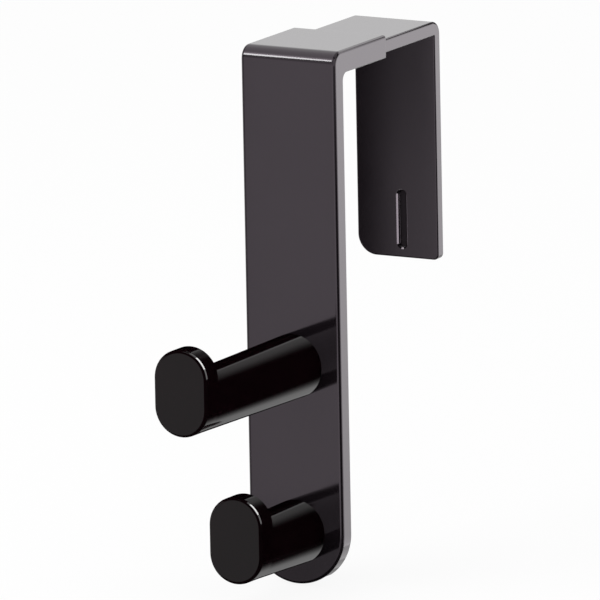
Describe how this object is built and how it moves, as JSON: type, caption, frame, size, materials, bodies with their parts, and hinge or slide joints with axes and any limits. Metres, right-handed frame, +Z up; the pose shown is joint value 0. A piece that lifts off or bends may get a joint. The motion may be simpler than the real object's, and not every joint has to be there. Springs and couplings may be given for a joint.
{
  "type": "double coat hook",
  "caption": "Coat hook that hangs over a panel's top edge, with two pegs and a sliding rear hook that adjusts to the panel's thickness.",
  "frame": {"origin": "the middle of the arm's underside, which rests on the panel's top edge", "axes": "+X across the hook, +Y from the pegs towards the rear plate, +Z up"},
  "size_m": [0.04, 0.1724, 0.2033],
  "materials": {
    "plate_plastic": "charcoal-black moulded plastic, polished to a mirror gloss",
    "peg_plastic": "jet-black moulded plastic with a high gloss",
    "screw_steel": "zinc-plated steel"
  },
  "bodies": {
    "front": {"front_hook": "plate_plastic", "upper_peg": "peg_plastic", "lower_peg": "peg_plastic", "upper_peg_screw": "screw_steel", "lower_peg_screw": "screw_steel"},
    "rear": {"rear_hook": "plate_plastic"}
  },
  "joints": [
    {"name": "arm_slide", "type": "slide", "parent": "front", "child": "rear", "axis": [0, 1, 0], "range_m": [-0.0195, 0.007]}
  ]
}
